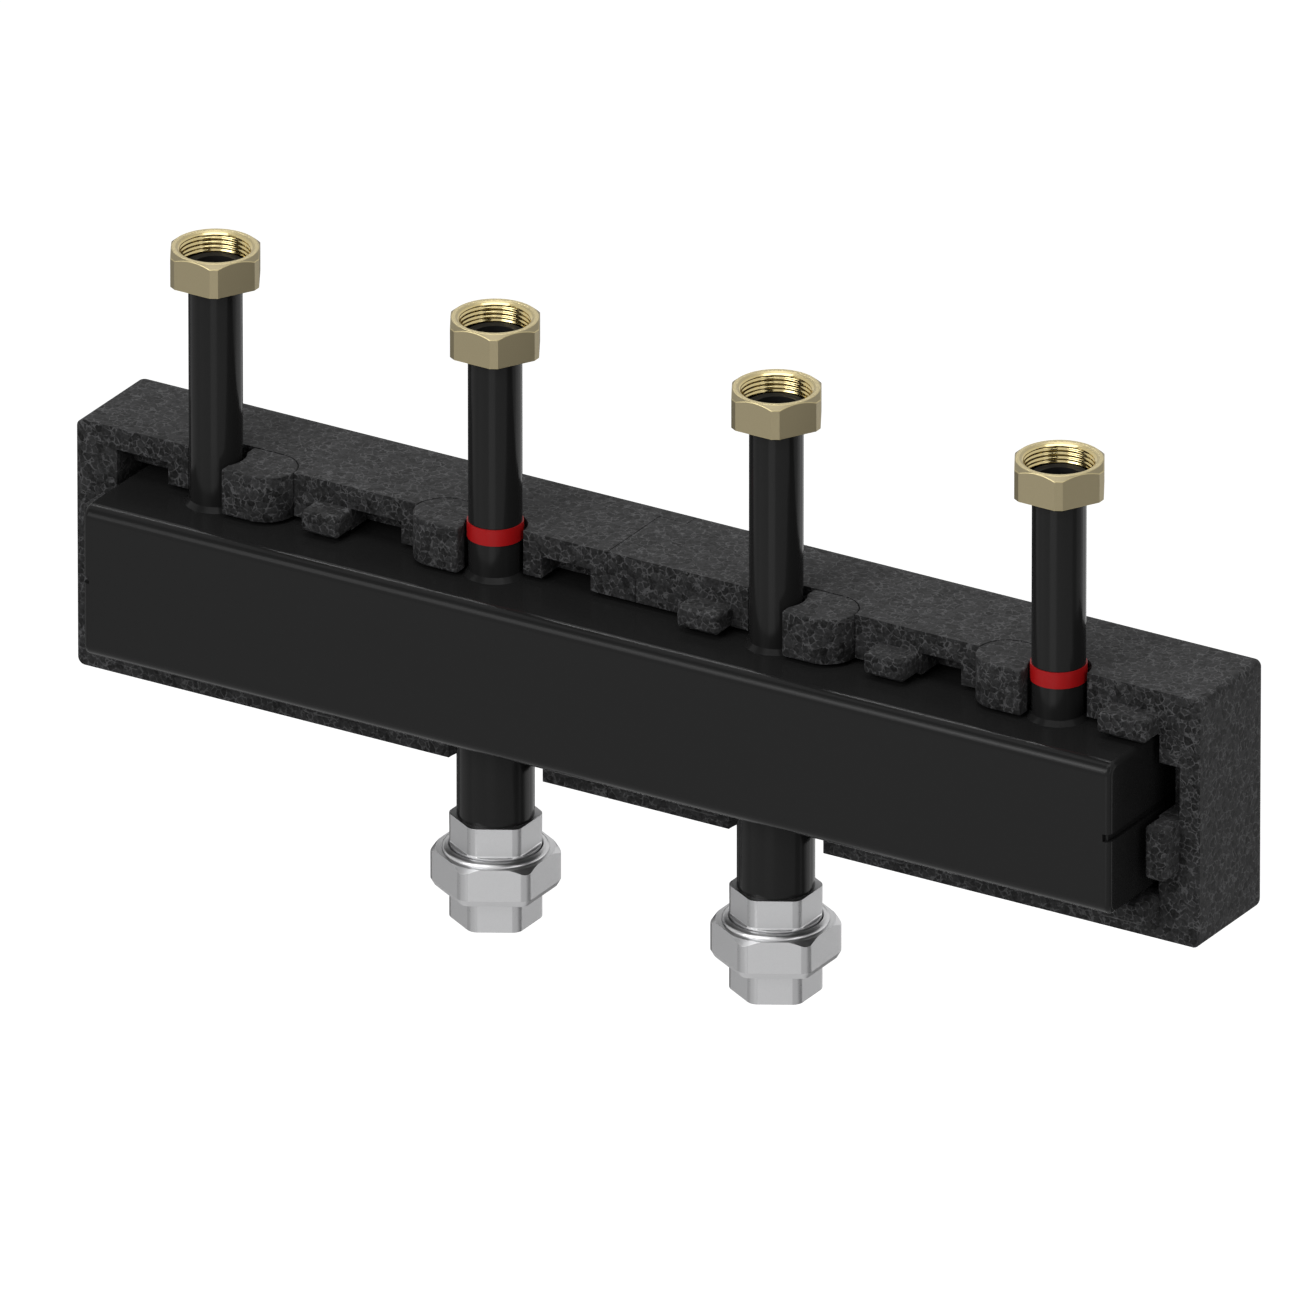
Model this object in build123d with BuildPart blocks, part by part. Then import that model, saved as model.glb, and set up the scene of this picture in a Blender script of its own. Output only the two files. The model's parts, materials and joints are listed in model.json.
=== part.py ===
from build123d import *
import math
import os

os.makedirs("parts", exist_ok=True)

# Heating manifold for two heating circuits, in the rear half of its foam case.
# A welded steel box with two chambers, one above the other, carries four pipe
# stubs with union nuts on top and two stubs with screwed unions below.
# Frame: the origin is the middle of the case's back face, +X runs along the
# manifold to the right, +Y points at the wall and +Z points up. Millimetres.

# Layout of the pipes
stub_pitch = 125.0
stub_names = ["return_1", "flow_1", "return_2", "flow_2"]
stub_count = len(stub_names)
boiler_names = ["boiler_flow", "boiler_return"]

# Foam case, rear half
case_wall = 18.0
case_back = 16.0
case_end_radius = 3.0
case_back_radius = 4.5

# Room between the foam and the steel body
body_gap = 2.0
body_end_gap = 3.5
body_back_gap = 1.0

# Steel body: a lipped channel bent from sheet, a back plate and pressed end caps
body_height = 63.0
body_depth = 62.0
sheet_thickness = 2.5
bend_radius = 5.0
lip_reach = 12.0
cap_thickness = 3.0
cap_edge_radius = 2.2
divider_thickness = 3.0
divider_z = 1.2
divider_recess = 1.4
weld_gap = 0.1

# Pipe stubs on top
stub_radius = 10.4
stub_bore_radius = 8.4
stub_rise = 96.9
stub_reach_in = 3.0
stub_reach_through = 6.0
collar_radius = 11.9
collar_height = 2.0
weld_leg = 1.9

# Brass union nuts on top, and the thread of nuts and unions, G 3/4
nut_flats = 33.9
nut_corner_width = 3.2
nut_height = 13.7
nut_lip = 2.0
nut_lip_gap = 0.3
nut_seat_gap = 0.1
nut_face_radius = 16.6
nut_face_drop = 1.7
nut_mouth_radius = 15.1
thread_radius = 13.22
thread_mouth_depth = 1.2
relief_radius = 13.6

# Flat gaskets in the union nuts
gasket_radius = 11.9
gasket_bore_radius = 8.6
gasket_thickness = 1.8

# Red marker rings on the flow stubs
ring_thickness = 0.45
ring_height = 6.7
ring_above_case = 2.0
ring_gap = 0.05

# Pipe stubs below
boiler_radius = 14.95
boiler_bore_radius = 12.2
boiler_drop = 37.9
boiler_thread_radius = 13.1
boiler_thread_bore_radius = 10.4
boiler_thread_length = 10.5

# Screwed unions on the lower stubs
union_flats = 32.0
union_corner_radius = 4.5
union_tail_height = 11.9
union_neck_radius = 16.6
union_seat_drop = 8.0
union_collar_radius = 19.2
union_collar_height = 3.4
union_seal_thickness = 2.0
union_seal_bore_radius = 13.6
union_nut_flats = 44.5
union_nut_corner_radius = 4.8
union_crown_radius = 20.7
union_crown_height = 1.7
union_crown_drop = 0.7
union_face_radius = 22.9
union_flat_height = 13.1
union_bevel_height = 2.7
union_bevel_inset = 1.5
union_opening_gap = 0.2
union_thread_radius = 19.7
union_thread_gap = 0.15
union_end_height = 13.3
union_seat_gap = 0.1
union_hex_bevel = 0.5
union_mouth_bevel = 0.8
union_crown_land = 0.4
union_socket_depth = 12.0
union_bore_radius = 11.6

# Slots in the case for the stubs, and the foam plugs that fill them. Each slot
# runs from its stub towards the middle of its circuit.
slot_runs_to = ["right", "left", "right", "left"]
slot_radius = 12.5
slot_run = 22.5
plug_gap = 0.3
plug_stub_gap = 1.4
plug_tip = 9.7
plug_tip_radius = 1.0
plug_drop = 0.5
boiler_slot_radius = 21.0

# Tongues and pockets in the rim, for the front half of the case, and the seam
# between the two mouldings of this half
tongue_reach = 11.0
pocket_depth = 12.0
tongue_radius = 1.8
tongue_bevel = 1.2
seam_shift = 12.5
seam_back_layer = 10.0
seam_gap = 0.3

# Rim keys: slot's stub, side of the slot, kind, land beside the slot and width.
# The last key on each side runs to the end of the cavity, so it has no width.
rim_keys = [
    ("return_1", "left", "pocket", 9.0, None),
    ("return_1", "right", "tongue", 9.5, 16.5),
    ("flow_1", "left", "pocket", 7.0, 22.5),
    ("flow_1", "right", "pocket", 8.0, 22.0),
    ("return_2", "left", "tongue", 7.0, 18.5),
    ("return_2", "right", "tongue", 10.0, 18.0),
    ("flow_2", "left", "pocket", 8.0, 17.5),
    ("flow_2", "right", "tongue", 10.5, None),
]
end_key_height = 22.0

# Smallest distance that tells one edge or point from another
tell_apart = 0.1

# Sizes that follow
case_length = stub_count * stub_pitch
case_height = body_height + 2 * (body_gap + case_wall)
case_depth = body_depth / 2 + body_back_gap + case_back
cavity_length = case_length - 2 * case_wall
cavity_height = case_height - 2 * case_wall
cavity_depth = case_depth - case_back
body_length = cavity_length - 2 * body_end_gap
shell_length = body_length - 2 * cap_thickness
inner_height = body_height - 2 * sheet_thickness
inner_depth = body_depth - 2 * sheet_thickness
window_height = body_height - 2 * lip_reach
rim_layer = case_wall / 2
axis_y = -case_depth
case_top = case_height / 2
body_top = body_height / 2
stub_x = [(i - (stub_count - 1) / 2) * stub_pitch for i in range(stub_count)]
boiler_x = [-stub_pitch / 2, stub_pitch / 2]
stub_end_z = body_top + stub_rise
boiler_end_z = -body_top - boiler_drop
slot_side = [1 if word == "right" else -1 for word in slot_runs_to]


def upright(x):
    """Vertical plane through a pipe's axis, local x to the right and local y up."""
    return Plane(origin=(x, axis_y, 0), x_dir=(1, 0, 0), z_dir=(0, -1, 0))


def level(x, z):
    """Horizontal plane at height z, centred on a pipe's axis."""
    return Plane(origin=(x, axis_y, z), x_dir=(1, 0, 0), z_dir=(0, 0, 1))


def pipe_axis(x):
    """Axis of the pipe at x."""
    return Axis((x, axis_y, 0), (0, 0, 1))




def slot_span(name):
    """Left and right end of the slot beside the named stub."""
    x = stub_x[stub_names.index(name)]
    side = slot_side[stub_names.index(name)]
    near = x - side * slot_radius
    far = x + side * (slot_run + slot_radius)
    return min(near, far), max(near, far)


def key_span(name, side, land, width):
    """Left and right end of a rim key, counted from the slot's end."""
    left, right = slot_span(name)
    out = 1 if side == "right" else -1
    start = right + land if side == "right" else left - land
    end = out * cavity_length / 2 if width is None else start + out * width
    return min(start, end), max(start, end)


# Rear half of the case, as one blank that is then parted into two mouldings
with BuildPart() as case_blank:
    with BuildSketch(Plane.XY.offset(-case_top)):
        with Locations((0, -case_depth / 2)):
            Rectangle(case_length, case_depth)
    extrude(amount=case_height)
    back_edges = case_blank.edges().group_by(Axis.Y)[-1]
    fillet(back_edges, case_back_radius)
    end_edges = case_blank.edges().filter_by(Axis.Y)
    fillet(end_edges, case_end_radius)
    # Cavity for the steel body
    with BuildSketch(Plane.XZ.offset(case_depth)):
        Rectangle(cavity_length, cavity_height)
    extrude(amount=-cavity_depth, mode=Mode.SUBTRACT)
    # Slots for the stubs on top, half of an obround each
    with BuildSketch(Plane.XY.offset(cavity_height / 2)):
        for x, side in zip(stub_x, slot_side):
            with Locations((x + side * slot_run / 2, axis_y)):
                SlotOverall(slot_run + 2 * slot_radius, 2 * slot_radius)
    extrude(amount=case_wall, mode=Mode.SUBTRACT)
    # Slots for the stubs below
    with BuildSketch(Plane.XY.offset(-cavity_height / 2)):
        with Locations(*[(x, axis_y) for x in boiler_x]):
            Circle(boiler_slot_radius)
    extrude(amount=-case_wall, mode=Mode.SUBTRACT)
    # Pockets in the inner layer of the top and bottom rim
    for name, side, kind, land, width in rim_keys:
        if kind == "pocket":
            left, right = key_span(name, side, land, width)
            for up in (1, -1):
                with BuildSketch(Plane.XY.offset(up * cavity_height / 2)):
                    with Locations(((left + right) / 2, axis_y + pocket_depth / 2)):
                        Rectangle(right - left, pocket_depth)
                extrude(amount=up * rim_layer, mode=Mode.SUBTRACT)
    # Pockets in the end walls, lower on the left and upper on the right
    for side in (-1, 1):
        with BuildSketch(Plane.XY):
            with Locations((side * (cavity_length + rim_layer) / 2, axis_y + pocket_depth / 2)):
                Rectangle(rim_layer, pocket_depth)
        extrude(amount=side * end_key_height, mode=Mode.SUBTRACT)


def rim_tongue(center, size):
    """One tongue that stands out of the rim, rounded along its length."""
    with BuildPart() as tongue:
        with BuildSketch(Plane.XZ.offset(case_depth)):
            with Locations(center):
                RectangleRounded(size[0], size[1], tongue_radius)
        extrude(amount=tongue_reach)
        chamfer(tongue.faces().sort_by(Axis.Y)[0].edges(), tongue_bevel)
    return tongue.part


case_tongues = []
for name, side, kind, land, width in rim_keys:
    if kind == "tongue":
        left, right = key_span(name, side, land, width)
        for up in (1, -1):
            middle = up * (cavity_height + rim_layer) / 2
            case_tongues.append(rim_tongue(((left + right) / 2, middle), (right - left, rim_layer)))
for side in (-1, 1):
    middle_x = side * (cavity_length + rim_layer) / 2
    middle_z = -side * end_key_height / 2
    case_tongues.append(rim_tongue((middle_x, middle_z), (rim_layer, end_key_height)))

with BuildPart() as case_rear:
    add(case_blank.part)
    for tongue_solid in case_tongues:
        add(tongue_solid)


def seam_zone(gap):
    """Space right of the seam, grown by gap. It steps left in the outer layers."""
    reach = case_length
    with BuildPart() as zone:
        with Locations((-gap, 0, 0)):
            Box(reach, 2 * reach, reach, align=(Align.MIN, Align.CENTER, Align.CENTER))
        for up in (1, -1):
            layer_align = Align.MIN if up > 0 else Align.MAX
            with Locations((-seam_shift - gap, -seam_back_layer + gap, up * (case_top - rim_layer - gap))):
                Box(reach, reach, reach, align=(Align.MIN, Align.MAX, layer_align))
    return zone.part


# The right moulding laps over the left one in the outer layer of top and bottom
with BuildPart() as insulation_rear_right:
    add(case_rear.part)
    add(seam_zone(0), mode=Mode.INTERSECT)
insulation_rear_right.part.label = "insulation_rear_right"
export_step(insulation_rear_right.part, "parts/insulation_rear_right.step")

with BuildPart() as insulation_rear_left:
    add(case_rear.part)
    add(seam_zone(seam_gap), mode=Mode.SUBTRACT)
insulation_rear_left.part.label = "insulation_rear_left"
export_step(insulation_rear_left.part, "parts/insulation_rear_left.step")

# Foam plugs that fill the slots beside the stubs
for name, x, side in zip(stub_names, stub_x, slot_side):
    with BuildPart() as filler_plug:
        with BuildSketch(Plane.XY.offset(cavity_height / 2 - plug_drop)) as plug_outline:
            with Locations((x + side * slot_run, axis_y)):
                Circle(slot_radius - plug_gap)
            with Locations((x + side * (plug_tip + slot_run) / 2, axis_y)):
                Rectangle(slot_run - plug_tip, 2 * (slot_radius - plug_gap))
            with Locations((x, axis_y)):
                Circle(stub_radius + plug_stub_gap, mode=Mode.SUBTRACT)
            tips = [v for v in plug_outline.vertices() if abs(v.X - x) < plug_tip + tell_apart]
            fillet(tips, plug_tip_radius)
        extrude(amount=case_wall + plug_drop)
    filler_plug.part.label = f"filler_plug_{name}"
    export_step(filler_plug.part, f"parts/filler_plug_{name}.step")

# Steel body, a channel bent from one sheet, with lips at the back and holes for
# the stubs
with BuildPart() as body_shell:
    with BuildSketch(Plane.YZ.offset(-shell_length / 2)):
        with Locations((axis_y, 0)):
            RectangleRounded(body_depth, body_height, bend_radius)
            inner_radius = bend_radius - sheet_thickness
            RectangleRounded(inner_depth, inner_height, inner_radius, mode=Mode.SUBTRACT)
        with Locations((axis_y + body_depth / 2, 0)):
            Rectangle(2 * sheet_thickness, window_height, mode=Mode.SUBTRACT)
    extrude(amount=shell_length)
    with BuildSketch(Plane.XY):
        with Locations(*[(x, axis_y) for x in stub_x]):
            Circle(stub_radius + weld_gap)
    extrude(amount=body_top, mode=Mode.SUBTRACT)
    with BuildSketch(Plane.XY):
        with Locations(*[(x, axis_y) for x in boiler_x]):
            Circle(boiler_radius + weld_gap)
    extrude(amount=-body_top, mode=Mode.SUBTRACT)
body_shell.part.label = "body_shell"
export_step(body_shell.part, "parts/body_shell.step")

# Plate welded between the channel's lips, which closes the body at the back
with BuildPart() as body_back_plate:
    with BuildSketch(Plane.YZ.offset(-shell_length / 2)):
        with Locations((axis_y + (body_depth - sheet_thickness) / 2, 0)):
            Rectangle(sheet_thickness, window_height - 2 * weld_gap)
    extrude(amount=shell_length)
body_back_plate.part.label = "body_back_plate"
export_step(body_back_plate.part, "parts/body_back_plate.step")

# Plate that parts the return chamber above from the flow chamber below. Its
# ears show at the ends as the groove between the caps.
through_top = [x for name, x in zip(stub_names, stub_x) if name.startswith("flow")]
through_bottom = [x for name, x in zip(boiler_names, boiler_x) if name == "boiler_return"]
with BuildPart() as divider_plate:
    with BuildSketch(Plane.XY.offset(divider_z - divider_thickness / 2)):
        with Locations((0, axis_y)):
            Rectangle(shell_length, inner_depth - 2 * weld_gap)
            Rectangle(body_length - 2 * divider_recess, inner_depth - 2 * bend_radius)
        ear_length = cap_thickness - divider_recess - weld_gap
        ear_x = body_length / 2 - divider_recess - ear_length / 2
        with Locations((-ear_x, axis_y), (ear_x, axis_y)):
            Rectangle(ear_length, body_depth - 2 * divider_recess)
        with Locations(*[(x, axis_y) for x in through_top]):
            Circle(stub_radius + weld_gap, mode=Mode.SUBTRACT)
        with Locations(*[(x, axis_y) for x in through_bottom]):
            Circle(boiler_radius + weld_gap, mode=Mode.SUBTRACT)
    extrude(amount=divider_thickness)
divider_plate.part.label = "divider_plate"
export_step(divider_plate.part, "parts/divider_plate.step")

# Pressed end caps, an upper and a lower one at each end
for end_name, side in (("left", -1), ("right", 1)):
    for cap_name, up in (("upper", 1), ("lower", -1)):
        split_z = divider_z + up * (divider_thickness / 2 + weld_gap)
        with BuildPart() as end_cap:
            with BuildSketch(Plane.YZ.offset(side * shell_length / 2)):
                with Locations((axis_y, 0)):
                    RectangleRounded(body_depth, body_height, bend_radius)
                with Locations((axis_y, split_z)):
                    keep = Align.MIN if up > 0 else Align.MAX
                    Rectangle(body_depth, body_height, align=(Align.CENTER, keep), mode=Mode.INTERSECT)
            extrude(amount=side * cap_thickness)
            outer_face = end_cap.faces().sort_by(Axis.X)[-1 if side > 0 else 0]
            rim_edges = [e for e in outer_face.edges() if abs(e.center().Z - split_z) > tell_apart]
            fillet(rim_edges, cap_edge_radius)
        end_cap.part.label = f"end_cap_{cap_name}_{end_name}"
        export_step(end_cap.part, f"parts/end_cap_{cap_name}_{end_name}.step")

# Pipe stubs on top, each with its collar and its weld to the body. The flow
# stubs run on through the divider into the lower chamber.
for name, x in zip(stub_names, stub_x):
    if name.startswith("flow"):
        foot_z = divider_z - divider_thickness / 2 - stub_reach_through
    else:
        foot_z = body_top - sheet_thickness - stub_reach_in
    with BuildPart() as stub:
        with BuildSketch(upright(x)):
            with BuildLine():
                Polyline(
                    (stub_bore_radius, foot_z),
                    (stub_radius, foot_z),
                    (stub_radius, body_top),
                    (stub_radius + weld_leg, body_top),
                    (stub_radius, body_top + weld_leg),
                    (stub_radius, stub_end_z - collar_height),
                    (collar_radius, stub_end_z - collar_height),
                    (collar_radius, stub_end_z),
                    (stub_bore_radius, stub_end_z),
                    close=True,
                )
            make_face()
        revolve(axis=pipe_axis(x))
    stub.part.label = f"stub_{name}"
    export_step(stub.part, f"parts/stub_{name}.step")

# Brass union nuts, a hexagon with flattened corners and a turned top. The
# thread starts above a relief that holds the collar and the gasket.
nut_base_z = stub_end_z - collar_height - nut_seat_gap - nut_lip
nut_top_z = nut_base_z + nut_height
nut_corner_radius = nut_flats / math.sqrt(3)
nut_corner_cut = nut_corner_width / 2 / math.sin(math.radians(60))
nut_rim_radius = nut_corner_radius - nut_corner_width / 2 / math.tan(math.radians(60))
for name, x in zip(stub_names, stub_x):
    with BuildPart() as union_nut:
        with BuildSketch(level(x, nut_base_z)) as nut_outline:
            RegularPolygon(nut_corner_radius, 6)
            chamfer(nut_outline.vertices(), nut_corner_cut)
        extrude(amount=nut_height)
        with BuildSketch(upright(x)):
            with BuildLine():
                Polyline(
                    (0, nut_base_z),
                    (nut_corner_radius, nut_base_z),
                    (nut_corner_radius, nut_top_z - nut_face_drop - nut_corner_radius + nut_rim_radius),
                    (nut_rim_radius, nut_top_z - nut_face_drop),
                    (nut_face_radius, nut_top_z),
                    (0, nut_top_z),
                    close=True,
                )
            make_face()
        revolve(axis=pipe_axis(x), mode=Mode.INTERSECT)
        with BuildSketch(upright(x)):
            with BuildLine():
                Polyline(
                    (0, nut_base_z),
                    (stub_radius + nut_lip_gap, nut_base_z),
                    (stub_radius + nut_lip_gap, nut_base_z + nut_lip),
                    (relief_radius, nut_base_z + nut_lip),
                    (relief_radius, stub_end_z + gasket_thickness),
                    (thread_radius, stub_end_z + gasket_thickness),
                    (thread_radius, nut_top_z - thread_mouth_depth),
                    (nut_mouth_radius, nut_top_z),
                    (0, nut_top_z),
                    close=True,
                )
            make_face()
        revolve(axis=pipe_axis(x), mode=Mode.SUBTRACT)
    union_nut.part.label = f"union_nut_{name}"
    export_step(union_nut.part, f"parts/union_nut_{name}.step")

# Flat gaskets that lie on the stubs' collars
for name, x in zip(stub_names, stub_x):
    with BuildPart() as nut_gasket:
        with BuildSketch(level(x, stub_end_z)):
            Circle(gasket_radius)
            Circle(gasket_bore_radius, mode=Mode.SUBTRACT)
        extrude(amount=gasket_thickness)
    nut_gasket.part.label = f"nut_gasket_{name}"
    export_step(nut_gasket.part, f"parts/nut_gasket_{name}.step")

# Red rings that mark the flow stubs, level with the top of the case
ring_top_z = case_top + ring_above_case
for name, x in zip(stub_names, stub_x):
    if name.startswith("flow"):
        with BuildPart() as marker_ring:
            with BuildSketch(level(x, ring_top_z - ring_height)):
                Circle(stub_radius + ring_gap + ring_thickness)
                Circle(stub_radius + ring_gap, mode=Mode.SUBTRACT)
            extrude(amount=ring_height)
        marker_ring.part.label = f"marker_ring_{name}"
        export_step(marker_ring.part, f"parts/marker_ring_{name}.step")

# Pipe stubs below, each with a turned end that screws into its union. The
# return stub runs up through the divider into the upper chamber.
for name, x in zip(boiler_names, boiler_x):
    if name == "boiler_return":
        head_z = divider_z + divider_thickness / 2 + stub_reach_through
    else:
        head_z = -body_top + sheet_thickness + stub_reach_in
    thread_end_z = boiler_end_z - boiler_thread_length
    bore_step = boiler_bore_radius - boiler_thread_bore_radius
    with BuildPart() as boiler_stub:
        with BuildSketch(upright(x)):
            with BuildLine():
                Polyline(
                    (boiler_bore_radius, head_z),
                    (boiler_radius, head_z),
                    (boiler_radius, -body_top),
                    (boiler_radius + weld_leg, -body_top),
                    (boiler_radius, -body_top - weld_leg),
                    (boiler_radius, boiler_end_z),
                    (boiler_thread_radius, boiler_end_z),
                    (boiler_thread_radius, thread_end_z),
                    (boiler_thread_bore_radius, thread_end_z),
                    (boiler_thread_bore_radius, boiler_end_z + bore_step),
                    (boiler_bore_radius, boiler_end_z + 2 * bore_step),
                    close=True,
                )
            make_face()
        revolve(axis=pipe_axis(x))
    boiler_stub.part.label = f"stub_{name}"
    export_step(boiler_stub.part, f"parts/stub_{name}.step")

# Screwed unions: a tail on the stub, a union nut that grips the tail's collar,
# a flat seal, and the end that takes the boiler's pipe
tail_top_z = boiler_end_z
tail_hex_z = tail_top_z - union_tail_height
crown_z = tail_hex_z - union_crown_drop
face_z = crown_z - union_crown_height
seat_z = tail_hex_z - union_seat_drop
collar_top_z = seat_z + union_collar_height
seal_z = seat_z - union_seal_thickness
flat_bottom_z = face_z - union_flat_height
bevel_bottom_z = flat_bottom_z - union_bevel_height
union_bottom_z = bevel_bottom_z - union_end_height
union_hex_radius = union_flats / math.sqrt(3)
union_hex_reach = union_hex_radius - union_corner_radius * (2 / math.sqrt(3) - 1)
opening_radius = union_hex_reach + union_opening_gap
union_nut_hex_radius = union_nut_flats / math.sqrt(3)
bevel_angle = math.degrees(math.atan(union_bevel_inset / union_bevel_height))


def hexagon(plane, radius, corner_radius):
    """Hexagon with rounded corners, a pair of its flats facing the ends."""
    with BuildSketch(plane) as outline:
        RegularPolygon(radius, 6, rotation=30)
        fillet(outline.vertices(), corner_radius)
    return outline.sketch


for name, x in zip(boiler_names, boiler_x):
    with BuildPart() as coupling_tail:
        add(hexagon(level(x, tail_hex_z), union_hex_radius, union_corner_radius))
        extrude(amount=union_tail_height)
        chamfer(coupling_tail.faces().sort_by(Axis.Z)[0].edges(), union_hex_bevel)
        with BuildSketch(upright(x)):
            with BuildLine():
                Polyline(
                    (0, tail_hex_z),
                    (union_neck_radius, tail_hex_z),
                    (union_neck_radius, collar_top_z),
                    (union_collar_radius, collar_top_z),
                    (union_collar_radius, seat_z),
                    (0, seat_z),
                    close=True,
                )
            make_face()
        revolve(axis=pipe_axis(x))
        with BuildSketch(level(x, tail_top_z)):
            Circle(thread_radius)
        extrude(amount=-union_socket_depth, mode=Mode.SUBTRACT)
        with BuildSketch(level(x, seat_z)):
            Circle(union_bore_radius)
        extrude(amount=tail_top_z - seat_z, mode=Mode.SUBTRACT)
    coupling_tail.part.label = f"coupling_tail_{name}"
    export_step(coupling_tail.part, f"parts/coupling_tail_{name}.step")

    with BuildPart() as coupling_nut:
        add(hexagon(level(x, flat_bottom_z), union_nut_hex_radius, union_nut_corner_radius))
        extrude(amount=face_z - flat_bottom_z)
        with BuildSketch(upright(x)):
            with BuildLine():
                Polyline(
                    (0, flat_bottom_z),
                    (union_nut_hex_radius, flat_bottom_z),
                    (union_nut_hex_radius, face_z - union_nut_hex_radius + union_face_radius),
                    (union_face_radius, face_z),
                    (0, face_z),
                    close=True,
                )
            make_face()
        revolve(axis=pipe_axis(x), mode=Mode.INTERSECT)
        add(hexagon(level(x, flat_bottom_z), union_nut_hex_radius, union_nut_corner_radius))
        extrude(amount=-union_bevel_height, taper=bevel_angle)
        with BuildSketch(upright(x)):
            with BuildLine():
                Polyline(
                    (0, face_z),
                    (union_crown_radius, face_z),
                    (opening_radius + union_crown_land, crown_z),
                    (0, crown_z),
                    close=True,
                )
            make_face()
        revolve(axis=pipe_axis(x))
        with BuildSketch(level(x, crown_z)):
            Circle(opening_radius)
        extrude(amount=-(crown_z - bevel_bottom_z), mode=Mode.SUBTRACT)
        with BuildSketch(level(x, bevel_bottom_z)):
            Circle(union_thread_radius)
        extrude(amount=collar_top_z + union_seat_gap - bevel_bottom_z, mode=Mode.SUBTRACT)
    coupling_nut.part.label = f"coupling_nut_{name}"
    export_step(coupling_nut.part, f"parts/coupling_nut_{name}.step")

    with BuildPart() as coupling_seal:
        with BuildSketch(level(x, seal_z)):
            Circle(union_collar_radius)
            Circle(union_seal_bore_radius, mode=Mode.SUBTRACT)
        extrude(amount=union_seal_thickness)
    coupling_seal.part.label = f"coupling_seal_{name}"
    export_step(coupling_seal.part, f"parts/coupling_seal_{name}.step")

    with BuildPart() as coupling_end:
        add(hexagon(level(x, union_bottom_z), union_hex_radius, union_corner_radius))
        extrude(amount=union_end_height + union_seat_gap)
        with BuildSketch(level(x, bevel_bottom_z + union_seat_gap)):
            Circle(union_thread_radius - union_thread_gap)
        extrude(amount=seal_z - bevel_bottom_z - union_seat_gap)
        with BuildSketch(upright(x)):
            with BuildLine():
                Polyline(
                    (0, union_bottom_z),
                    (thread_radius + union_mouth_bevel, union_bottom_z),
                    (thread_radius, union_bottom_z + union_mouth_bevel),
                    (thread_radius, union_bottom_z + union_socket_depth),
                    (union_bore_radius, union_bottom_z + union_socket_depth),
                    (union_bore_radius, seal_z),
                    (0, seal_z),
                    close=True,
                )
            make_face()
        revolve(axis=pipe_axis(x), mode=Mode.SUBTRACT)
    coupling_end.part.label = f"coupling_end_{name}"
    export_step(coupling_end.part, f"parts/coupling_end_{name}.step")
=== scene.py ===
import json
import math

import bmesh
import bpy
import numpy as np
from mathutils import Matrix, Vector


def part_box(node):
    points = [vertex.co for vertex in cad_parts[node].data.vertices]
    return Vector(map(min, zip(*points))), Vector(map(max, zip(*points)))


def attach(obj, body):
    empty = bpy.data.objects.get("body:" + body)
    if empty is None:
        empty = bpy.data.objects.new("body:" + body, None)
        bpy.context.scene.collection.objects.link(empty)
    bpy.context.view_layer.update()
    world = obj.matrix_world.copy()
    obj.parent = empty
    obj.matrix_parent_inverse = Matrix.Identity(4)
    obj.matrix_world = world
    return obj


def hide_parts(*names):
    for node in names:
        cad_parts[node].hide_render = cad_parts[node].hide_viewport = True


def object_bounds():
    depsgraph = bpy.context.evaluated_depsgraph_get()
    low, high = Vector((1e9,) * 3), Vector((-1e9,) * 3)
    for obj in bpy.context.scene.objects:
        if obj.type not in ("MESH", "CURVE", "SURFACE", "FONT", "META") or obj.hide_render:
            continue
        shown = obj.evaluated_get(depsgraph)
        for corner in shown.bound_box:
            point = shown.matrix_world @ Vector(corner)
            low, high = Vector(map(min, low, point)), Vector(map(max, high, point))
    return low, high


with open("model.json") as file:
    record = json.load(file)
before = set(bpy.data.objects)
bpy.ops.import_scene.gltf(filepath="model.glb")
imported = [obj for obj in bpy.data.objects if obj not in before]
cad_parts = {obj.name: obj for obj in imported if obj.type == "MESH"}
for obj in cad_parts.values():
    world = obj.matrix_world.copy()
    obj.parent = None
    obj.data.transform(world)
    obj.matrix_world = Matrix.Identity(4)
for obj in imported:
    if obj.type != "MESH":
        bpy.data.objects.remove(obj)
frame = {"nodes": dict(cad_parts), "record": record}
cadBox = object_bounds()
print("frame loaded,", len(frame["nodes"]), "CAD nodes")

mm = 0.001
topPipes = ["return_1", "flow_1", "return_2", "flow_2"]
lowerPipes = ["boiler_flow", "boiler_return"]


# sRGB hex to linear: each channel goes through the sRGB curve
def toLinear(hexColour):
    srgb = np.array([int(hexColour[i:i + 2], 16) for i in (0, 2, 4)]) / 255
    linear = np.where(srgb <= 0.04045, srgb / 12.92, ((srgb + 0.055) / 1.055) ** 2.4)
    return (*linear.tolist(), 1.0)


# adds one node, with its settings, its fixed inputs and the sockets that feed it
def addNode(tree, kind, values=None, sources=None, **settings):
    node = tree.nodes.new(kind)
    for key, value in settings.items():
        setattr(node, key, value)
    for key, value in (values or {}).items():
        node.inputs[key].default_value = value
    for key, socket in (sources or {}).items():
        tree.links.new(socket, node.inputs[key])
    return node


def newMaterial(name):
    material = bpy.data.materials.new(name)
    material.use_nodes = True
    material.node_tree.nodes.clear()
    return material, material.node_tree


def addObject(name, data):
    item = bpy.data.objects.new(name, data)
    bpy.context.scene.collection.objects.link(item)
    return item


# Camera and light
cameraPlan = {
    "azimuth": 31.363,      # degrees, as in the photograph
    "elevation": 24.594,
    "frameWidth": 0.49605,  # metres across the picture
    "lens": 1500,           # a very long lens, close to the photograph's parallel view
    "nearest": 0.1,         # metres from the camera to the nearest and farthest thing it sees
    "farthest": 100,
    "target": (0.00754, -0.048, 0.01426),
}


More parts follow.
